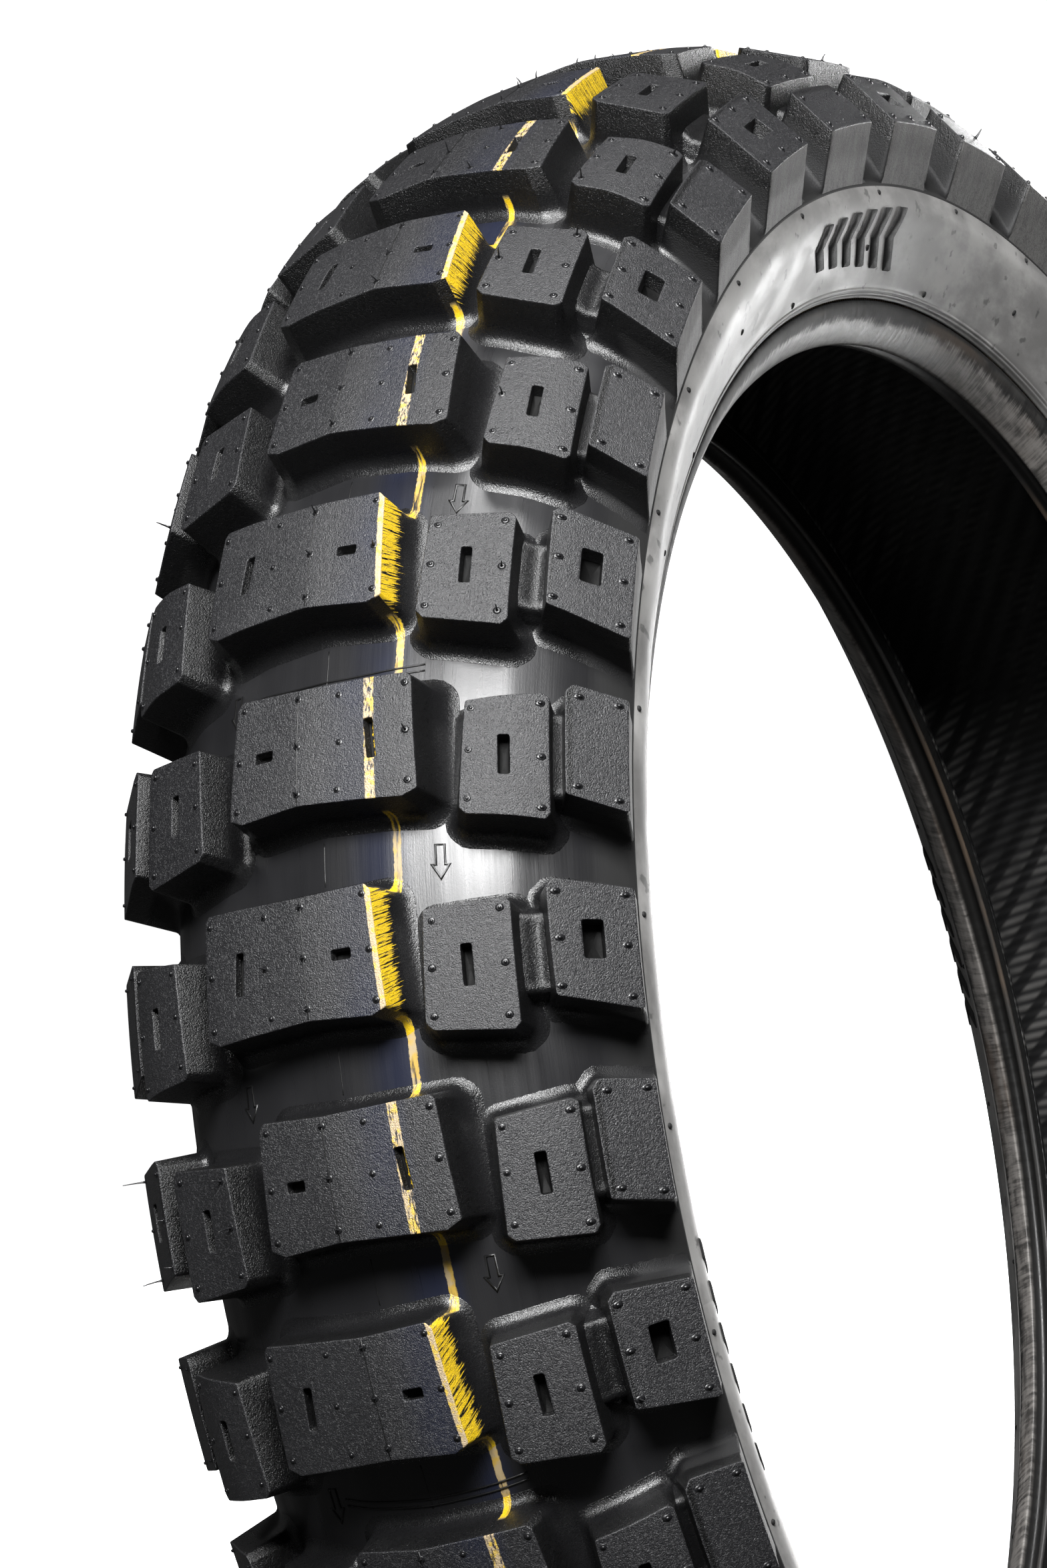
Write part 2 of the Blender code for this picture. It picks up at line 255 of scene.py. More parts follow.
def make_piece(name, shell, look, nodes, hollow_shade_look=None):
    """Turn a shell into a Blender object that rides on the tire; hollow_shade_look, with the slots' painted
    shade, is for its slots.
    """
    values, quads, triangles = (np.concatenate(part) for part in (shell.values, shell.quads, shell.triangles))
    across, angle, radius = np.concatenate(shell.points).T
    place = np.stack([-radius * np.cos(angle), -across, -radius * np.sin(angle)], -1) * MM
    mesh = bpy.data.meshes.new(name)
    mesh.vertices.add(len(place))
    mesh.vertices.foreach_set("co", place.astype(np.float32).ravel())
    corners = np.concatenate([quads.ravel(), triangles.ravel()]).astype(np.int32)
    sizes = np.concatenate([np.full(len(quads), 4), np.full(len(triangles), 3)])
    mesh.loops.add(len(corners))
    mesh.loops.foreach_set("vertex_index", corners)
    mesh.polygons.add(len(sizes))
    starts = np.concatenate([[0], np.cumsum(sizes)[:-1]]).astype(np.int32)
    mesh.polygons.foreach_set("loop_start", starts)
    mesh.polygons.foreach_set("use_smooth", np.ones(len(sizes), bool))
    mesh.update(calc_edges=True)
    for label, column in zip((*VALUE_NAMES, "across"), (*values.T, across)):
        attribute = mesh.attributes.new(label, "FLOAT", "POINT")
        attribute.data.foreach_set("value", column.astype(np.float32))
    mesh.materials.append(look)
    if hollow_shade_look:
        mesh.materials.append(hollow_shade_look)
        hollow = values[:, VALUE_NAMES.index("face")] < -0.5
        in_slot = np.concatenate([hollow[quads].all(1), hollow[triangles].all(1)])
        mesh.polygons.foreach_set("material_index", in_slot.astype(np.int32))
    made = bpy.data.objects.new(name, mesh)
    bpy.context.scene.collection.objects.link(made)
    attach(made, "root")
    if nodes:
        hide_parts(*nodes)


def ring_quads(first, count, rings, rising=True, closed=False):
    """Faces between loops of points; closed joins the last loop to the first.

    They face outwards where counter-clockwise loops follow each other up, or down if not rising.
    """
    i = np.arange(count)
    j = (i + 1) % count
    quads = []
    for k in range(rings if closed else rings - 1):
        a, b = first + k * count, first + (k + 1) % rings * count
        order = (a + i, a + j, b + j, b + i) if rising else (a + i, b + i, b + j, a + j)
        quads.append(np.stack(order, -1))
    return np.concatenate(quads)


def fan(first, count, centre, upward=True):
    """Triangles between a counter-clockwise loop of points and one point; they face up or down."""
    i = first + np.arange(count)
    j = first + (np.arange(count) + 1) % count
    middle = np.full(count, centre)
    return np.stack([i, j, middle] if upward else [j, i, middle], -1)


# ---------------------------------------------------------------- blocks

def block_template(corners, slots=(), lean=0.0, cut=False, lowered=0.0, trough=0.0, bevel=BEVEL,
                   root=ROOT, radius=0.8):
    """One tread block: a top with slots, rounded edges, leaning walls and a concave root.

    slots holds (corners, depth).  lean is how far a wall moves towards the centre plane for each
    unit it goes down.  cut says that the block ends on the slope at the tread edge.  lowered is
    the share of its height by which a tie bar lies below the block tops, and trough is where
    it is lowest.
    """
    outline, normal = rounded(corners, radius)
    count = len(outline)
    at_cut = (outline[:, 0] > EDGE_ACROSS - 0.2) & cut
    leans = np.full(count, lean)
    if cut:
        cut_lean = (EDGE_ACROSS - WALL_ACROSS) / (EDGE_RADIUS - WALL_RADIUS)
        inner_side = outline[:, 0].min()
        leans += (cut_lean - lean) * (outline[:, 0] - inner_side) / (EDGE_ACROSS - inner_side)

    def height(across):
        top = crown(across)
        if not lowered:
            return top
        hollow = np.minimum(0.5 * (across - trough) ** 2, 2.6)
        return top - lowered * (top - floor(np.minimum(across, FLOOR[-1][0]))) + hollow

    top_radius = height(outline[:, 0])

    def sideways(offset):
        """How far each point moves across at an offset; the cut end stays where it is."""
        move = normal[:, 0] * offset
        return np.where(at_cut, 0, move) if offset > 0 else move

    def foot_depth(offset, rise):
        """How far below the top each leaning line comes within rise of the groove floor."""
        low, high = np.zeros(count), np.full(count, 40.0)
        for _ in range(30):
            middle = (low + high) / 2
            across = outline[:, 0] + sideways(offset) - leans * middle
            above = top_radius - middle > floor(across) + rise
            low, high = np.where(above, middle, low), np.where(above, high, middle)
        return np.where(at_cut, top_radius - WALL_RADIUS - rise, low)

    loops = []

    def store(offset, depth=None, rise=None):
        """Add a loop of points: depth below the top, or rise above the floor at the foot."""
        down = depth if rise is None else foot_depth(offset, rise)
        across = outline[:, 0] + sideways(offset) - leans * down
        along = outline[:, 1] + normal[:, 1] * offset
        if rise is None:
            r = height(outline[:, 0] + sideways(offset)) - depth if offset <= 0 else top_radius - depth
        else:
            lowest = WALL_RADIUS - 1.0
            r = np.where(at_cut, lowest + rise, np.maximum(floor(across), lowest) + rise)
            across = np.where(at_cut, cut_across(r), np.minimum(across, cut_across(r)))
        angle = outline[:, 1] / crown(outline[:, 0]) + normal[:, 1] * offset / r
        loops.append(np.stack([across, angle, r, along, top_radius - r], -1))

    store(-bevel - SUPPORT, 0.0)
    for phi in (0, 30, 60, 90):
        a = math.radians(phi)
        store(-bevel + bevel * math.sin(a), bevel * (1 - math.cos(a)))
    wall_foot = foot_depth(DRAFT, root)
    for share in (0.3, 0.65, 1.0):
        store(DRAFT * share, bevel + (wall_foot - bevel) * share)
    for phi in (16, 32, 48, 64, 80):
        a = math.radians(phi)
        store(DRAFT + root * (1 - math.cos(a)), rise=root * (1 - math.sin(a)))
    store(DRAFT + root * 1.12, rise=-0.25)
    walls = np.concatenate(loops)
    on_end = np.tile(at_cut, len(loops)).astype(float)
    on_end[:count * 4] = 0                     # the loops of the top and its rounded edge

    slot_loops = [rounded(slot_corners, 0.6, step=1.6) for slot_corners, _ in slots]
    holes = [points + n * (SLOT_BEVEL + SUPPORT) for points, n in slot_loops]
    triangles, grid = fill(outline - normal * (bevel + SUPPORT), holes, 1.1 if lowered else 3.2)

    def on_top(points, drop):
        r = height(points[:, 0]) - drop
        angle = points[:, 1] / crown(points[:, 0])
        across = points[:, 0] - lean * drop
        return np.stack([across, angle, r, points[:, 1], np.full(len(points), drop)], -1)

    # the top's triangles use the first loop of the walls and of each slot, and then the grid
    extra, quads, tops = [], [ring_quads(0, count, len(loops), rising=False)], [np.arange(count)]
    base, fans = len(walls), []
    for (points, n), (_, depth) in zip(slot_loops, slots):
        m = len(points)
        stages = [(SLOT_BEVEL + SUPPORT, 0.0), (SLOT_BEVEL, 0.0), (0.04, 0.05), (0.0, 0.16),
                  (-0.12, depth - 0.3), (-SLOT_TAPER, depth)]
        extra += [on_top(points + n * shift, drop) for shift, drop in stages]
        extra.append(on_top((points - n * SLOT_TAPER).mean(0)[None], depth))
        tops.append(base + np.arange(m))
        quads.append(ring_quads(base, m, len(stages)))
        centre = base + m * len(stages)
        fans.append(fan(centre - m, m, centre))
        base = centre + 1
    tops.append(base + np.arange(len(grid)))
    extra.append(on_top(grid, 0.0))
    # a fan closes the block just below the groove floor
    extra.append(loops[-1].mean(0)[None] * (1, 1, 1, 1, 0))
    fans.append(fan(len(walls) - count, count, base + len(grid), upward=False))

    extra = np.concatenate(extra)
    points = np.concatenate([walls, extra])
    face = np.concatenate([on_end, -(extra[:, 4] > 0.2).astype(float)])
    drop = points[:, 4] + (TIE_BAR_DROP if lowered else 0.0)
    values = np.stack([points[:, 3], drop, face, face * 0, face * 0], -1)     # add_turned sets the last two
    top_faces = np.concatenate(tops)[triangles]
    return points[:, :3], np.concatenate(quads), np.concatenate([top_faces, *fans]), values


WIDE = [(-31.1, -15.7), (-29.9, -17.1), (0, -16.3), (18.0, -17.2), (19.6, -15.4), (21.6, 15.6),
        (17.6, 17.5), (0, 16.3), (-29.0, 17.6), (-32.9, 15.5)]
INNER_A = [(33.0, -8.0), (52.4, -9.3), (53.8, -7.8), (53.8, 23.4), (52.3, 25.2), (33.2, 23.5), (31.3, 21.5)]
SHOULDER_A = [(61.3, -11.6), (62.8, -13.6), (77.1, -11.0), (77.1, 20.7), (61.6, 17.1)]
INNER_B = [(44.4, -8.0), (61.8, -10.3), (63.1, -9.2), (63.1, 22.7), (62.1, 24.5), (44.4, 23.3), (42.8, 21.5)]
SHOULDER_B = [(65.9, -11.9), (67.2, -14.1), (77.1, -12.0), (77.1, 19.4), (65.9, 16.8)]

WIDE_SLOTS = [
    ([(-21.2, -5.3), (-18.6, -5.3), (-19.7, 6.0), (-22.3, 6.0)], 3.0),
    ([(7.8, -1.1), (13.3, -1.1), (13.3, 1.8), (7.8, 1.8)], 3.2),
]
INNER_A_SLOTS = [([(41.3, 1.9), (44.0, 1.9), (44.0, 12.9), (41.3, 12.9)], 3.6)]
INNER_B_SLOTS = [([(52.3, 1.9), (55.0, 1.9), (55.0, 12.8), (52.3, 12.8)], 3.6)]
SHOULDER_A_SLOTS = [([(67.4, -2.6), (71.2, -2.6), (71.2, 7.6), (67.4, 7.6)], 4.6)]

WIDE_NUBS = [(-29.6, -14.1), (-30, -.7), (-30.6, 13.3), (-11.6, -13.1), (-12, .4), (-11.4, 13.5),
             (0, -13.8), (0, -.3), (0, 13), (17.4, -14.5), (18.4, .2), (19.2, 13.6)]
INNER_A_NUBS = [(35, -4.8), (34.2, 7.5), (33.6, 20), (51.3, -6.5), (51.6, 7.8), (51.3, 21.3)]
INNER_B_NUBS = [(45.9, -5.7), (45.3, 5.9), (44.9, 19.2), (61.3, -7.3), (61.5, 7.6), (61.4, 21.5)]
SHOULDER_A_NUBS = [(63.1, -10.1), (63.3, 2.2), (62.8, 14.7), (75.4, -9.1), (75.1, 4.1), (75.1, 17.4)]
SHOULDER_B_NUBS = [(68.4, -10.7), (75.4, -9.9), (68.1, 14.3), (75.3, 16.6)]

TIE_A = [(48.5, -7.0), (61, -7.5), (61, 15.0), (48.5, 15.5)]
TIE_B = [(57.5, -8.5), (66, -9.0), (66, 16.0), (57.5, 16.5)]

# (template, side on an even row, nubs)
KINDS = [
    (block_template(WIDE, WIDE_SLOTS), 1, WIDE_NUBS),
    (block_template(INNER_A, INNER_A_SLOTS, lean=0.33), 1, INNER_A_NUBS),
    (block_template(SHOULDER_A, SHOULDER_A_SLOTS, lean=0.62, cut=True), 1, SHOULDER_A_NUBS),
    (block_template(INNER_B, INNER_B_SLOTS, lean=0.5), -1, INNER_B_NUBS),
    (block_template(SHOULDER_B, lean=0.58, cut=True), -1, SHOULDER_B_NUBS),
    (block_template(TIE_A, lean=0.45, lowered=0.6, trough=54.6, bevel=1.6, root=3.0, radius=2.6), 1, []),
    (block_template(TIE_B, lean=0.55, lowered=0.5, trough=61.5, bevel=1.6, root=3.0, radius=2.6), -1, []),
]


# ---------------------------------------------------------------- looks

class Field:
    """A number that varies over a material; arithmetic on it adds nodes to the material."""

    def __init__(self, look, socket):
        self.look, self.socket = look, socket

    def __add__(self, other):
        return self.look.maths("ADD", self, other)

    def __sub__(self, other):
        return self.look.maths("SUBTRACT", self, other)

    def __rsub__(self, other):
        return self.look.maths("SUBTRACT", other, self)

    def __mul__(self, other):
        return self.look.maths("MULTIPLY", self, other)

    def __abs__(self):
        return self.look.maths("ABSOLUTE", self)

    def ramp(self, low, high, to_low=0.0, to_high=1.0):
        """Smooth step from to_low, where the number is low, to to_high, where it is high."""
        step = self.look.node("MapRange", interpolation_type="SMOOTHSTEP")
        return Field(self.look, self.look.feed(step, self, low, high, to_low, to_high))

    def above(self, limit, soft=0.1):
        """Mask of where the number is above a limit, which may vary too."""
        return (self - limit).ramp(-soft, soft)

    def below(self, limit, soft=0.1):
        return (self - limit).ramp(soft, -soft)


def either(first, *others):
    """The largest of some fields; of masks, where any of them holds."""
    for other in others:
        first = first.look.maths("MAXIMUM", first, other)
    return first


class Look:
    """A procedural material: one Principled shader and the nodes that feed it."""

    def __init__(self, name):
        self.material = bpy.data.materials.new(name)
        self.material.use_nodes = True
        self.tree = self.material.node_tree
        self.shader = self.tree.nodes["Principled BSDF"]

    def node(self, kind, **settings):
        made = self.tree.nodes.new("ShaderNode" + kind)
        for key, value in settings.items():
            setattr(made, key, value)
        return made

    def plug(self, source, socket):
        """Link a field or an output to a socket, or set a number, vector or colour on it."""
        if isinstance(source, Field):
            source = source.socket
        if isinstance(source, (int, float)):
            socket.default_value = source
        elif isinstance(source, tuple):
            socket.default_value = source if socket.type == "VECTOR" else (*source, 1)
        else:
            self.tree.links.new(source, socket)

    def feed(self, node, *sources):
        """Plug sources into a node's first inputs, and return its first output."""
        for source, socket in zip(sources, node.inputs):
            self.plug(source, socket)
        return node.outputs[0]

    def feed_named(self, node, **sources):
        """Plug sources into a node's inputs by name, with _ for a space."""
        for name, source in sources.items():
            if source is not None:
                self.plug(source, node.inputs[name.replace("_", " ")])
        return node.outputs[0]

    def maths(self, operation, *sources):
        return Field(self, self.feed(self.node("Math", operation=operation), *sources))

    def mix(self, share, a, b):
        """Colour a where share is 0, colour b where it is 1."""
        made = self.node("Mix", data_type="RGBA")
        colours = [socket for socket in made.inputs if socket.type == "RGBA"]
        for source, socket in zip((share, a, b), (made.inputs["Factor"], *colours)):
            self.plug(source, socket)
        return next(output for output in made.outputs if output.type == "RGBA")

    def value(self, name):
        """One of the values that make_piece stores on the points of the mesh."""
        return Field(self, self.node("Attribute", attribute_name=name).outputs["Fac"])

    def place(self):
        return self.node("TexCoord").outputs["Object"]

    def stretched(self, *scales):
        """Object position, scaled along each axis: a low scale draws a pattern out."""
        return self.feed(self.node("VectorMath", operation="MULTIPLY"), self.place(), scales)

    def vector(self, *sources):
        return self.feed(self.node("CombineXYZ"), *sources)

    def turned_place(self):
        """Angle about the axle, distance from it and place along it, in radians and metres."""
        split = self.node("SeparateXYZ")
        self.feed(split, self.place())
        x, y, z = (Field(self, output) for output in split.outputs)
        return self.maths("ARCTAN2", z, x), self.maths("SQRT", x * x + z * z), y

    def polar(self, *scales):
        """The turned place, each part scaled, for patterns that run round the wheel."""
        return self.vector(*(part * scale for part, scale in zip(self.turned_place(), scales)))

    def noise(self, scale, detail=2.0, roughness=0.5, at=None):
        """Noise around 0.5 at the object position, or at another one; a tuple scales each axis."""
        if isinstance(scale, tuple):
            at, scale = self.stretched(*scale), 1.0
        if at is None:
            at = self.place()
        made = self.node("TexNoise")
        self.feed_named(made, Vector=at, Scale=scale, Detail=detail, Roughness=roughness)
        return Field(self, made.outputs["Fac"])

    def grain(self):
        """Fine grain of moulded rubber, around 0.5."""
        return self.noise(2700.0, 2.0, 0.6) * 0.66 + self.noise(1100.0) * 0.34

    def waves(self, turns, slant=0.0):
        """Waves from 0 to 1, so many a turn; slant is their change of phase for each metre across."""
        angle, _, across = self.turned_place()
        return self.maths("SINE", angle * turns + across * slant) * 0.5 + 0.5

    def bump(self, height, strength, distance, normal=None):
        return self.feed_named(self.node("Bump"), Height=height, Strength=strength, Distance=distance,
                               Normal=normal)

    def finish(self, colour, roughness, normal=None, **sources):
        self.feed_named(self.shader, Base_Color=colour, Roughness=roughness, Normal=normal, **sources)
        return self.material


CREAM = (0.40, 0.31, 0.19)
YELLOW = (0.60, 0.40, 0.012)
LINE_ACROSS = 20.3             # middle of the painted line


def blue_cast(look):
    """Where the moulded rubber is tinted bluish: between the centre line and the paint."""
    across = look.value("across")
    patches = look.noise(38.0, 3.0).ramp(0.35, 0.6)
    return across.ramp(4.0, 17.0) * across.ramp(25.0, 20.0) * patches.ramp(0.0, 1.0, 0.45, 1.0)


def floor_line(look):
    """The painted line on the groove floor and over the feet of the blocks."""
    half = look.noise((700, 900, 700), 4.0, 0.7) * 1.1 + 0.45
    worn = look.noise((90, 700, 90), 4.0, 0.65).ramp(0.34, 0.50)
    return abs(look.value("across") - LINE_ACROSS).below(half, 0.12) * worn


def block_paint(look):
    """Masks of the worn, pale paint and of the thick, yellow paint on the blocks."""
    across, along, drop, odd = (look.value(name) for name in ("across", "along", "drop", "odd"))
    on_top = drop.below(0.35)
    shift = look.noise(900.0, 4.0, 0.7) - 0.5
    # odd rows: along the top of the block
    over = abs(across - (along * 0.026 + LINE_ACROSS)).below(shift * 0.8 + 1.35, 0.08)
    worn = look.noise((500, 1500, 260), 4.0, 0.7).ramp(0.42, 0.5)
    top_line = odd * on_top * over * worn
    # even rows: along the block's edge and down its wall, with brushed ends
    beside = across - (along * 0.0645 + 20.6)
    near_edge = (1.0 - odd) * across.below(27.0) * abs(along).below(17.1, 0.2)
    strip = near_edge * on_top * beside.above(shift * 0.9 - 1.5, 0.08)
    slanted = look.vector(drop * 0.9 + along * 2.4, drop * 0.1, look.value("shade"))
    brushed = look.noise(1.0, 3.0, 0.65, at=slanted)
    painted_down = drop.above(0.3) * drop.below(brushed * 20.0 - 3.5, 0.4)
    wall = near_edge * painted_down * beside.above(-0.5) * brushed.ramp(0.41, 0.47)
    # both: where the floor's line runs up the foot of a block
    at_end = either(odd, abs(along).above(17.0, 0.3))
    foot = drop.above(8.5, 1.0) * at_end * floor_line(look)
    return either(top_line, strip), either(wall, foot)


def block_look():
    """Moulded blocks: grainy tops; smooth walls, darkened to near black as painted shade; end faces in pale
    grey with streaks, the pale grey a painted sheen; and the paint.
    """
    look = Look("block_rubber")
    specks = look.grain()
    drop = look.value("drop")
    colour = look.mix(look.noise(55.0, 4.0), (0.008, 0.008, 0.009), (0.022, 0.022, 0.0235))
    colour = look.mix(look.value("shade") * 0.45, colour, (0.007, 0.007, 0.008))
    colour = look.mix(blue_cast(look) * 0.7, colour, (0.011, 0.013, 0.025))
    colour = look.mix(specks.ramp(0.50, 0.68, 0.0, 0.8), colour, (0.06, 0.06, 0.062))
    # painted shade: below the rounded top edge the walls are coloured near black, for the shade in the
    # grooves
    colour = look.mix(drop.ramp(0.2, 0.6), colour, (0.0028, 0.0028, 0.003))
    foot = drop.ramp(6.0, 11.5)
    colour = look.mix(foot, colour, (0.007, 0.007, 0.0075))
    # painted sheen: the end faces are coloured pale grey for the sheen they catch; the streaks and specks in
    # that grey are texture
    ends = look.value("face").above(0.5, 0.3)
    brushed = look.noise(1.0, 5.0, 0.7, at=look.polar(90.0, 90.0, 90.0))
    buffing_and_sheen = (specks * 0.6 + brushed * 0.4).ramp(0.36, 0.62)
    colour = look.mix(ends, colour, look.mix(buffing_and_sheen, (0.042, 0.041, 0.040), (0.135, 0.132, 0.128)))
    pale, thick = block_paint(look)
    patches = look.noise(500.0, 3.0).ramp(0.5, 0.62) * 0.7
    colour = look.mix(either(pale, thick), colour, look.mix(either(thick, patches), CREAM, YELLOW))
    rough = specks.ramp(0.3, 0.7, 0.24, 0.50) * foot.ramp(0.0, 1.0, 1.0, 0.75) + ends * 0.38
    dull = abs(look.value("across")).ramp(57.0, 64.0) * drop.ramp(3.5, 7.0) * 0.68
    height = specks * drop.ramp(5.0, 11.0, 1.0, 0.45)
    return look.finish(colour, either(rough, dull), look.bump(height, 1.0, 0.00045))


def slot_shade_look():
    """Inside of the slots, coloured near black and given a weak reflection as painted shade, with paint in
    those that the line crosses.
    """
    look = Look("slot_rubber_painted_shade")
    across, along = look.value("across"), look.value("along")
    ragged = look.noise(900.0, 3.0, 0.7)
    beside = across - (along * 0.09 + LINE_ACROSS) - (ragged * 1.6 - 0.9)
    paint = look.value("odd") * beside.above(0.0) * across.below(25.0)
    # painted shade: the near-black colour here and the low specular level below stand for the shade inside
    # the slots
    colour = look.mix(ragged, (0.001, 0.001, 0.001), (0.003, 0.003, 0.003))
    colour = look.mix(paint, colour, YELLOW)
    return look.finish(colour, 0.6, look.bump(ragged, 0.4, 0.0002), Specular_IOR_Level=0.12)


def floor_look():
    """Groove floor: fine streaks round the wheel, as the mould was turned, and the line."""
    look = Look("floor_rubber")
    streaks = look.noise((45, 2600, 45), 4.0, 0.6)
    broad = look.noise((14, 330, 14), 3.0)
    colour = look.mix(look.noise(40.0, 3.0), (0.006, 0.006, 0.007), (0.018, 0.018, 0.019))
    colour = look.mix(blue_cast(look) * 0.8, colour, (0.010, 0.0125, 0.027))
    line = floor_line(look)
    paint = look.mix(look.noise(260.0, 3.0).ramp(0.42, 0.6), (0.34, 0.26, 0.14), (0.40, 0.26, 0.04))
    edge = abs(look.value("across")).ramp(60.0, 67.0)
    colour = look.mix(edge, look.mix(line, colour, paint), (0.006, 0.006, 0.006))
    rough = broad * 0.22 + streaks * 0.14 + 0.13 + line * 0.2 + edge * 0.45
    normal = look.bump(streaks, 0.35, 0.00006)
    return look.finish(colour, rough, look.bump(look.grain(), 0.3, 0.00008, normal))


def sidewall_look():
    """Satin sidewall in a pale grey that is painted sheen, with soft scuffs and smudges in it, painted shade
    towards the shoulder, small dark spots and a fine grain.
    """
    look = Look("sidewall_rubber")
    scuffs = look.noise(1.0, 5.0, 0.62, at=look.polar(14.0, 95.0, 60.0))
    smears = look.noise(30.0, 4.0)
    smudges_and_sheen = (scuffs * 0.5 + smears * 0.5).ramp(0.40, 0.60)
    shoulder = look.turned_place()[1].ramp(0.262, 0.2705)
    spots = look.noise(190.0, 3.0).ramp(0.63, 0.70)
    # painted sheen: both greys are far paler than the rubber, for the sheen the sidewall catches at a slant;
    # the smudges between them are real mottling
    colour = look.mix(smudges_and_sheen, (0.20, 0.196, 0.192), (0.38, 0.374, 0.364))
    # painted shade: darker towards the shoulder, where the sidewall meets the tread
    colour = look.mix(shoulder * 0.35, colour, (0.05, 0.049, 0.048))
    colour = look.mix(spots * 0.6, colour, (0.03, 0.03, 0.03))
    rough = shoulder * 0.2 + scuffs.ramp(0.3, 0.7, 0.38, 0.55)
    normal = look.bump(look.grain(), 0.35, 0.0001)
    return look.finish(colour, rough, look.bump(smears, 0.2, 0.0006, normal))


def bead_look():
    """Bead rubber, scuffed across by the fitting tools; its pale seat is rubbed and partly painted sheen, its
    brownish patches and pale lip are painted highlights, and its channel and inner toe are painted shade.
    """
    look = Look("bead_rubber")
    strokes = look.noise(1.0, 5.0, 0.7, at=look.polar(150.0, 60.0, 60.0))
    patches = look.noise(1.0, 4.0, at=look.polar(3.2, 60.0, 60.0))
    buffing_and_sheen = look.noise(1.0, 4.0, at=look.polar(24.0, 260.0, 260.0))
    _, radius, side = look.turned_place()
    share = strokes * 0.6 + buffing_and_sheen * 0.4
    # rubbed seat, lightened also as painted sheen: the pale streaky colour near the toe stands for rubbing
    # and for the sheen the slope catches
    rubbed_and_sheen = (radius - (share * 0.009 + patches * 0.004)).below(0.2285, 0.0012)
    streaky = share.ramp(0.38, 0.6)
    light = look.mix(streaky, (0.06, 0.057, 0.054), (0.27, 0.255, 0.24))
    dark = look.mix(streaky, (0.006, 0.006, 0.006), (0.04, 0.039, 0.037))
    # painted highlight: brownish patches stand for the brown highlights on the bead
    brown = patches.ramp(0.52, 0.68) * 0.6
    colour = look.mix(brown, look.mix(rubbed_and_sheen, dark, light), (0.085, 0.055, 0.035))
    # painted shade: near black in the channel at the rim line and on the inner side of the toe, for the shade
    # there
    channel = abs(radius - 0.2403).below(0.0014, 0.0006)
    inside_toe = abs(side).below(0.0450, 0.0006)
    colour = look.mix(either(channel, inside_toe), colour, (0.008, 0.0078, 0.0075))
    # painted highlight: the lip at the toe is lighter, for the highlight along its ridge
    lip = abs(side).below(0.0402, 0.0004) * radius.below(0.2312, 0.0005)
    colour = look.mix(lip, colour, look.mix(brown, (0.045, 0.044, 0.043), (0.16, 0.11, 0.07)))
    rough = rubbed_and_sheen * -0.25 + strokes.ramp(0.3, 0.7, 0.58, 0.75)
    return look.finish(colour, rough, look.bump(strokes * (1.0 - inside_toe), 0.5, 0.0002))


def liner_look():
    """Near-black liner with the faint slanting print of the cords under it."""
    look = Look("liner_rubber")
    lines, bands = look.waves(523.0), look.waves(141.0, 628.0)
    patches = look.noise(20.0, 4.0, 0.6).ramp(0.40, 0.62)
    printed = lines * bands.ramp(0.15, 0.6) * patches
    colour = look.mix(printed, (0.006, 0.006, 0.0063), (0.075, 0.073, 0.07))
    return look.finish(colour, bands.ramp(0.0, 1.0, 0.42, 0.6), look.bump(lines + bands, 0.4, 0.0003))


def cord_look():
    """Rubberised cord fabric of the layers inside."""
    look = Look("cord_fabric")
    cords = look.waves(900.0, 3400.0)
    colour = look.mix(cords, (0.16, 0.10, 0.045), (0.40, 0.28, 0.13))
    return look.finish(colour, cords.ramp(0.0, 1.0, 0.75, 0.55), look.bump(cords, 0.5, 0.0003))


def wire_look():
    """Bronze-coated bead wire, wound side by side."""
    look = Look("bronze_wire")
    scratches = look.noise((60, 4000, 60), 3.0)
    colour = look.mix(scratches, (0.30, 0.20, 0.09), (0.52, 0.38, 0.20))
    rough = scratches.ramp(0.2, 0.8, 0.25, 0.45)
    return look.finish(colour, rough, look.bump(scratches, 0.4, 0.0002), Metallic=1.0)


def plain_look(name, colour, rough):
    """Moulded rubber in one colour, with grain and slight clouds."""
    look = Look(name)
    specks = look.grain()
    clouded = look.mix(look.noise(60.0, 3.0), tuple(c * 0.6 for c in colour), colour)
    return look.finish(clouded, specks.ramp(0.2, 0.8, rough * 0.8, rough * 1.2),
                       look.bump(specks, 0.4, 0.0001))


# ---------------------------------------------------------------- turned rings

def turned(section, segments):
    """A closed section (across, radius) turned once round the axle line."""
    section = np.array(section, float)
    if signed_area(section) < 0:
        section = section[::-1]
    count = len(section)
    angle = np.repeat(np.arange(segments) * 2 * math.pi / segments, count)
    across, radius = np.tile(section, (segments, 1)).T
    shell = Shell()
    shell.add(np.stack([across, angle, radius], -1), ring_quads(0, count, segments, closed=True), NO_FACES)
    return shell


def smooth_path(points, step):
    """Points of a smooth curve through the given ones, about step apart."""
    points = np.array(points, float)
    longer = extended(points)
    result = []
    for i in range(len(points) - 1):
        p0, p1, p2, p3 = longer[i:i + 4]
        pieces = max(1, round(np.linalg.norm(p2 - p1) / step))
        for k in range(pieces):
            t = k / pieces
            result.append(0.5 * (
                2 * p1 + (p2 - p0) * t + (2 * p0 - 5 * p1 + 4 * p2 - p3) * t * t
                + (3 * p1 - p0 - 3 * p2 + p3) * t ** 3))
    return np.array([*result, points[-1]])


def mirrored(section):
    """The other half of a section, back from its end to its start."""
    return [(-x, r) for x, r in section][::-1]


FLOOR_SEGMENTS = 22 * ROWS


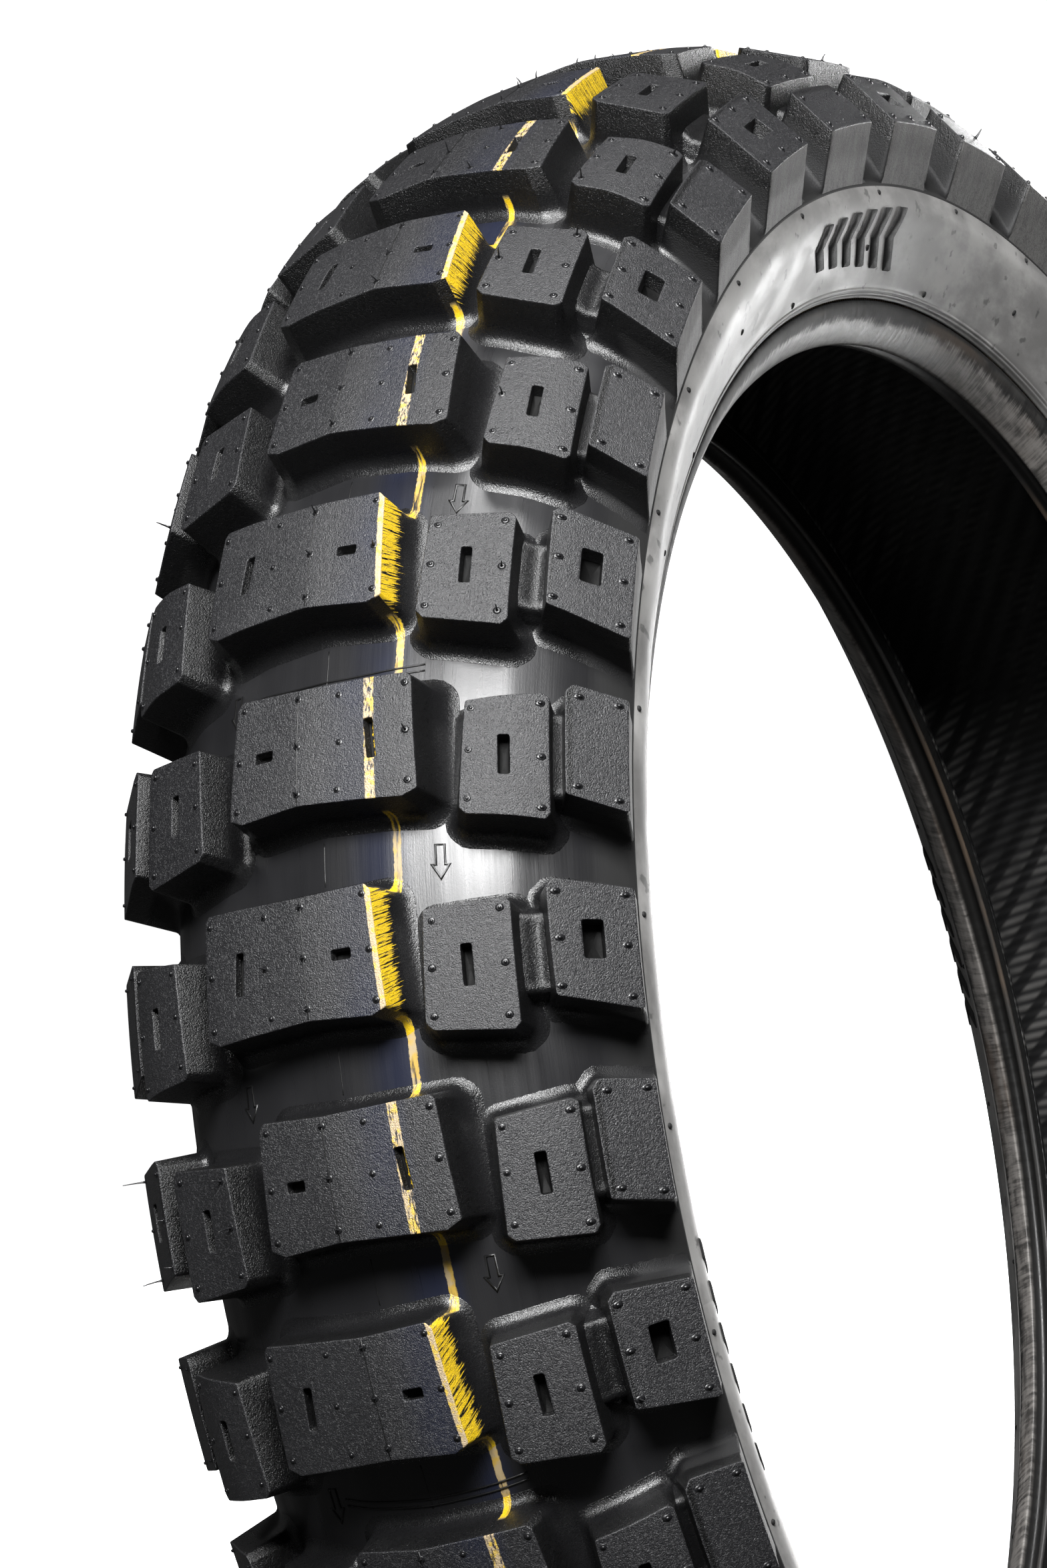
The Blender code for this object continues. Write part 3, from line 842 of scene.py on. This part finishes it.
def build_floor():
    """The groove floor, closed on the inside a little above the CAD undertread."""
    outer = [(x, floor(x)) for x in np.linspace(0, FLOOR[-1][0], 46)]
    outer += [(69.05, 271.9), (68.4, 271.0)]
    inner = [(66.0, 270.0), (64.0, 275.0), (57.0, 287.0), (46.0, 297.0), (33.0, 303.6), (19.0, 308.5),
             (0, 310.6)]
    right = outer + inner
    shell = turned(right + mirrored(right[1:-1]), FLOOR_SEGMENTS)
    make_piece("tread_floor", shell, floor_look(), ["tread"])


def row_side(row):
    """Odd rows are the mirror image of even ones."""
    return 1 if row % 2 == 0 else -1


ROWS_PER_PIECE = 9


def build_blocks(look, hollow_shade_look):
    """All blocks and tie bars, in four pieces of nine rows each."""
    for first in range(0, ROWS, ROWS_PER_PIECE):
        shell = Shell()
        for row in range(first, first + ROWS_PER_PIECE):
            for template, side, _ in KINDS:
                shell.add_turned(template, row, side * row_side(row))
        name = f"tread_blocks_{first // ROWS_PER_PIECE + 1}"
        make_piece(name, shell, look, ["tread"], hollow_shade_look)


def circle(radius, count):
    turn = 2 * math.pi * np.arange(count) / count
    return radius * np.stack([np.cos(turn), np.sin(turn)], -1)


def small_body(loops, heights, top, bottom):
    """A closed body of rising loops (east, north) between two end points, with its faces."""
    count = len(loops[0])
    rings = [np.column_stack([loop, np.full(count, up)]) for loop, up in zip(loops, heights)]
    points = np.concatenate([*rings, [top, bottom]])
    end = len(rings) * count
    caps = [fan(end - count, count, end), fan(0, count, end + 1, upward=False)]
    return points, ring_quads(0, count, len(rings)), np.concatenate(caps)


def dome(radius, height, sides=8):
    """A small round bump."""
    reach, up = np.array([(1.25, -0.25), (1.0, 0.12), (0.95, 0.55), (0.6, 0.92)]).T
    loops = [circle(radius * r, sides) for r in reach]
    return small_body(loops, height * up, (0, 0, height), (0, 0, -0.25 * height))


def hair(length, bend, radius=0.2, sides=6, rings=6):
    """A thin rubber hair left by an air vent: a tapered, bent tube."""
    shares = np.linspace(0, 1, rings)
    widths = radius * np.array([2.4, *(1.5 - 0.9 * shares[1:])])
    loops = [circle(width, sides) + bend * share ** 2 for width, share in zip(widths, shares)]
    heights = [-0.15, *(length * shares[1:])]
    return small_body(loops, heights, (*bend, length * 1.03), (0, 0, -0.15))


def add_on_tread(shell, body, across, along, row, side):
    """Stand a small body on a block's top; east runs across the tread, north along it."""
    points, quads, triangles = body
    r = float(crown(across))
    slope = float(crown(across + 0.5) - crown(across - 0.5))
    place = np.stack([
        side * (across + points[:, 0] - points[:, 2] * slope),
        row * ROW_ANGLE + (along + points[:, 1]) / r,
        r + points[:, 2] + points[:, 0] * slope], -1)
    shell.add(place, quads, triangles, flip=side > 0)


HAIR_CHANCE = 0.06             # for a nub off the centre line; those on it are all hairs


def build_nubs(look):
    """Vent nubs and short hairs on the block tops."""
    round_nub = dome(0.5, 0.45)
    collar = dome(0.85, 0.10, sides=10)
    shell = Shell()
    for row in range(ROWS):
        for _, side, nubs in KINDS:
            for across, along in nubs:
                chance = rng.random()
                bend = rng.uniform(-0.6, 0.6, 2)
                length = rng.uniform(1.0, 2.2)
                nub = round_nub
                if across == 0 or chance < HAIR_CHANCE:
                    long_one = chance > 0.9 or chance < 0.05
                    nub = hair(length * (1.8 if long_one else 1), bend)
                for body in (collar, nub):
                    add_on_tread(shell, body, across, along, row, side * row_side(row))
    make_piece("vent_nubs", shell, look, [])


def raised_line(path, surface, width, height, closed=False):
    """A thin raised line on a turned surface; path is (across, along), surface gives the radius."""
    path = np.array(path, float)
    longer = np.array([path[-1], *path, path[0]]) if closed else extended(path)
    normals = right_of(unit(np.diff(longer, axis=0)))
    normal = unit(normals[:-1] + normals[1:])
    normal /= np.maximum((normal * normals[1:]).sum(1), 0.4)[:, None]
    loops = []
    for shift, up in ((-0.62, -0.25), (-0.35, height), (0.35, height), (0.62, -0.25)):
        spot = path + normal * shift * width
        base = surface(spot[:, 0])
        loops.append(np.stack([spot[:, 0], spot[:, 1] / base, base + up], -1))
    points = np.stack(loops, 1).reshape(-1, 3)
    quads = ring_quads(0, len(loops), len(path), closed=closed)
    if not closed:
        ends = np.array([(3, 2, 1, 0), np.arange(len(points) - 4, len(points))])
        quads = np.concatenate([quads, ends])
    return points, quads, NO_FACES, np.zeros((len(points), len(VALUE_NAMES)))


ARROW_ACROSS = -31.0           # middle of the arrow, on the side of the block's long end
ARROW = [(-1.15, 25.6), (-1.15, 31.0), (-2.2, 31.0), (0, 34.8), (2.2, 31.0), (1.15, 31.0), (1.15, 25.6)]
WEAR_BAR_ALONG = -24.0
WEAR_BAR_GAP = 1.8
WEAR_BAR_ROWS = 4              # rows from one pair of wear bars to the next


def build_raised_lines(look):
    """Arrows and wear bars in the grooves, and the mould's parting line."""
    arrow = raised_line([(ARROW_ACROSS + x, y) for x, y in ARROW], floor, 0.55, 0.3, closed=True)
    top_line = raised_line([(0, y) for y in np.linspace(-15.9, 15.9, 9)], crown, 0.28, 0.10)
    bar = [(x, WEAR_BAR_ALONG - 0.002 * x * x) for x in np.linspace(-27, 27, 28)]
    bars = [raised_line([(x, y + shift) for x, y in bar], floor, 0.5, 0.35) for shift in (0, WEAR_BAR_GAP)]
    floor_gap = raised_line([(0, y) for y in np.linspace(21.5, 33.5, 9)], floor, 0.3, 0.14)
    shell = Shell()
    for row in range(ROWS):
        lines = [arrow, top_line, floor_gap]
        if row % WEAR_BAR_ROWS == 1:
            lines += bars
        for line in lines:
            shell.add_turned(line, row, row_side(row))
    make_piece("raised_lines", shell, look, [])


# Sections as (across, radius): sidewall from the tread edge to the rim line, small ridges and the
# channel at the rim line, slope of the bead, its toe and lip, and the inner sides of both pieces
WALL_LINE = [(68.9, 272.3), (69.1, 271.1), (69.4, 268.9), (69.2, 265.6), (67.6, 261.6), (65.4, 257.6),
             (62.8, 253.3), (60.3, 249.2), (58.6, 246.2), (57.6, 244.4)]
RIM_LINE = [(57.2, 243.9), (56.8, 243.5), (56.95, 243.1), (56.8, 242.7), (56.3, 242.5), (56.1, 242.3),
            (56.25, 242.0), (56.0, 241.7), (55.3, 241.4), (54.6, 240.9)]
WALL_BACK = [(53.6, 241.2), (55.5, 245.0), (60.2, 254.0), (65.6, 263.0), (66.6, 267.0), (65.0, 270.0)]
BEAD_LINE = [(54.3, 240.4), (54.5, 239.6), (54.4, 238.4), (53.7, 236.6), (52.4, 234.7), (50.6, 232.7),
             (48.9, 231.1), (47.2, 229.7), (46.2, 229.0), (45.6, 228.6), (45.1, 228.7), (44.9, 229.3)]
LIP_LINE = [(44.4, 230.2), (43.5, 231.5), (42.4, 232.0), (41.2, 231.3), (39.9, 230.2), (39.0, 229.8),
            (38.5, 230.3), (38.8, 231.6), (40.0, 233.6), (41.2, 236.6), (41.7, 242.4)]
BEAD_BACK = [(42.6, 242.4), (42.8, 237.0), (45.2, 231.2), (47.2, 231.4), (52.6, 237.2), (53.2, 240.0)]
WALL_SEGMENTS = 540


def build_walls():
    """Sidewalls, and the bead bands that stand for the rim and toe strips."""
    wall = [*smooth_path(WALL_LINE, 0.8), *smooth_path(RIM_LINE, 0.25), *WALL_BACK]
    band = [*smooth_path(BEAD_LINE, 0.5), *smooth_path(LIP_LINE, 1.0), *BEAD_BACK]
    wall_look, band_look = sidewall_look(), bead_look()
    for side, name in ((1, "right"), (-1, "left")):
        skin, bead = (turned([(side * x, r) for x, r in part], WALL_SEGMENTS) for part in (wall, band))
        make_piece(f"sidewall_skin_{name}", skin, wall_look, [f"sidewall_{name}"])
        make_piece(f"bead_band_{name}", bead, band_look,
                   [f"rim_strip_{name}", f"toe_strip_{name}"])


def wall_across(radius):
    """How far out the sidewall's surface is at a radius."""
    line = smooth_path(WALL_LINE, 0.8)[::-1]
    return np.interp(radius, line[:, 1], line[:, 0])


def add_on_wall(shell, body, angle, radius, side):
    """Stand a small body on the sidewall; east runs round the wheel, north runs outwards."""
    points, quads, triangles = body
    r = radius + points[:, 1]
    turn = angle + points[:, 0] / radius
    place = np.stack([side * (wall_across(r) + points[:, 2]), turn, r], -1)
    shell.add(place, quads, triangles, flip=side > 0)


def prism(corners, height, rise=0.18):
    """A flat raised shape with sloping sides, as (east, north, up); corners go anticlockwise."""
    outline, normal = rounded(corners, 0.3, step=1.5)
    count = len(outline)
    sunk = -0.3
    loops = [(rise + 0.1, sunk), (rise, 0.0), (0.0, height)]
    points = [np.column_stack([outline + normal * out, np.full(count, up)]) for out, up in loops]
    top, grid = fill(outline, [], step=2.5)
    points += [np.column_stack([grid, np.full(len(grid), height)]), [(*outline.mean(0), sunk)]]
    bottom = fan(0, count, len(loops) * count + len(grid), upward=False)
    faces = np.concatenate([top + 2 * count, bottom])
    return np.concatenate(points), ring_quads(0, count, len(loops)), faces


VENT_RINGS = [(269.8, 30, -94.7), (254.2, 15, -70.4), (244.9, 15, -82.0)]     # radius, count, first angle
MARK_RADIUS = 257.0
MARK_ANGLES = [-131.5, -91.5, 4, 48.5, 88.5, 184]
CHEVRONS = 6                   # in each mark
CHEVRON_STEP = 11.0
CHEVRON_SHRINK = 0.5           # each is this much less tall, on both sides, than the one before


def build_wall_details(look):
    """Vent dots, coloured near black as the painted shade of vent holes, and a plain mark of chevrons, on
    both sidewalls.
    """
    dot = dome(0.8, 0.55, sides=10)
    marks = []
    for k in range(CHEVRONS):
        x = -34 + CHEVRON_STEP * k
        half = 8.6 - CHEVRON_SHRINK * k
        bent = [(x, -half), (x + 5.2, -half), (x + 10.6, 0), (x + 5.2, half), (x, half), (x + 5.4, 0)]
        marks.append(prism(bent, 0.5))
    shell = Shell()
    for side in (1, -1):
        for radius, count, first in VENT_RINGS:
            for k in range(count):
                jitter = rng.uniform(-1.2, 1.2)
                add_on_wall(shell, dot, math.radians(first + jitter) + 2 * math.pi * k / count, radius, side)
        for angle in MARK_ANGLES:
            for mark in marks:
                add_on_wall(shell, mark, math.radians(angle), MARK_RADIUS, side)
    make_piece("sidewall_details", shell, look, [])


LINER_LINE = [(0, 303.6), (16, 301.0), (30, 297.2), (45.0, 288.8), (56.8, 275.0), (61.8, 264.2),
              (54.2, 256.2), (46.5, 250.4), (42.6, 246.8), (41.6, 243.0)]
LINER_THICKNESS = 0.6
LINER_SEGMENTS = 360


def build_liner():
    """The skin of the air chamber, from bead to bead."""
    path = smooth_path(LINER_LINE, 1.8)
    longer = extended(path)
    outer = (path - right_of(unit(longer[2:] - longer[:-2])) * LINER_THICKNESS)[::-1]
    shell = turned([*path, *outer, *mirrored(outer[:-1]), *mirrored(path[1:])], LINER_SEGMENTS)
    make_piece("liner_skin", shell, liner_look(), ["inner_liner"])


# ---------------------------------------------------------------- stage

CAMERA_AZIMUTH, CAMERA_ELEVATION, CAMERA_ROLL = -63.254, 4.178, -13.962
CAMERA_OFFSET = (-100.22, 100.57, 1837.18)     # right, up and back from the wheel centre, in mm
CAMERA_LENS = 139.276
GROUND_HEIGHT = -0.3285        # in metres, where the lowest blocks stand


def direction(azimuth, elevation):
    """Unit vector at an azimuth, counted from -Y towards +X, and an elevation, both in degrees."""
    a, e = math.radians(azimuth), math.radians(elevation)
    return Vector((math.sin(a) * math.cos(e), -math.cos(a) * math.cos(e), math.sin(e)))


def build_camera():
    """A camera at the photograph's viewing angle."""
    back, roll = direction(CAMERA_AZIMUTH, CAMERA_ELEVATION), math.radians(CAMERA_ROLL)
    level = (-back).cross(Vector((0, 0, 1))).normalized()
    upright = level.cross(-back)
    right = level * math.cos(roll) + upright * math.sin(roll)
    up = upright * math.cos(roll) - level * math.sin(roll)
    camera = bpy.data.cameras.new("camera")
    camera.lens = CAMERA_LENS
    camera.sensor_width = 36
    camera.clip_end = 50
    made = bpy.data.objects.new("camera", camera)
    place = (right * CAMERA_OFFSET[0] + up * CAMERA_OFFSET[1] + back * CAMERA_OFFSET[2]) * MM
    made.matrix_world = Matrix.Translation(place) @ Matrix((right, up, back)).transposed().to_4x4()
    bpy.context.scene.collection.objects.link(made)
    bpy.context.scene.camera = made


def softbox(name, azimuth, elevation, distance, size, brightness):
    """A rectangular light that points at the wheel centre; lengths are in metres."""
    place = direction(azimuth, elevation) * distance
    lamp = bpy.data.lights.new(name, "AREA")
    lamp.shape = "RECTANGLE"
    lamp.size, lamp.size_y = size
    lamp.energy = brightness * math.pi * size[0] * size[1]
    made = bpy.data.objects.new(name, lamp)
    made.location = place
    made.rotation_mode = "QUATERNION"
    made.rotation_quaternion = (-place).to_track_quat("-Z", "Y")
    bpy.context.scene.collection.objects.link(made)


def build_stage():
    """Plain pale floor and backdrop, which only the camera sees, and three soft lights."""
    scene = bpy.context.scene
    scene.view_settings.view_transform = "Standard"
    world = bpy.data.worlds.new("studio")
    world.use_nodes = True
    background = world.node_tree.nodes["Background"]
    background.inputs["Color"].default_value = (1, 1, 1, 1)
    background.inputs["Strength"].default_value = 0.05
    scene.world = world

    def backdrop(name, made, glow):
        paint = Look(name + "_paint").finish(
            (0.9, 0.9, 0.9), 0.8, Emission_Color=(1.0, 1.0, 1.0), Emission_Strength=glow)
        made.name = name
        made.data.materials.append(paint)
        made.visible_diffuse = False
        made.visible_glossy = False
        made.visible_shadow = False

    bpy.ops.mesh.primitive_plane_add(size=12, location=(0, 0, GROUND_HEIGHT))
    backdrop("floor", bpy.context.object, 0.93)
    bpy.ops.mesh.primitive_uv_sphere_add(segments=32, ring_count=16, radius=7)
    backdrop("backdrop", bpy.context.object, 1.1)

    softbox("key", -61, 43, 2.2, (1.1, 0.66), 52)
    softbox("top", -20, 72, 2.2, (0.8, 0.7), 20)
    softbox("bounce", 94, -12, 2.4, (1.4, 2.2), 17)


def dress_inner_nodes():
    """Pieces inside the tire keep their CAD shape and get a fitting look."""
    cord, wire = cord_look(), wire_look()
    gum = plain_look("inner_rubber", (0.04, 0.04, 0.043), 0.55)
    for name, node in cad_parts.items():
        if node.hide_render:
            continue
        if "core" in name:
            look = wire
        elif any(word in name for word in ("belt_inner", "belt_outer", "ply", "flipper")):
            look = cord
        else:
            look = gum
        node.data.materials.clear()
        node.data.materials.append(look)


build_camera()
build_floor()
build_blocks(block_look(), slot_shade_look())
build_nubs(plain_look("nub_rubber", (0.009, 0.009, 0.010), 0.3))
build_raised_lines(plain_look("line_rubber", (0.006, 0.006, 0.006), 0.4))
build_walls()
# painted shade: the vent dots share the marks' near-black rubber, for the shade inside vent holes
build_wall_details(plain_look("mark_and_vent_shade_rubber", (0.005, 0.005, 0.005), 0.75))
build_liner()
dress_inner_nodes()
build_stage()
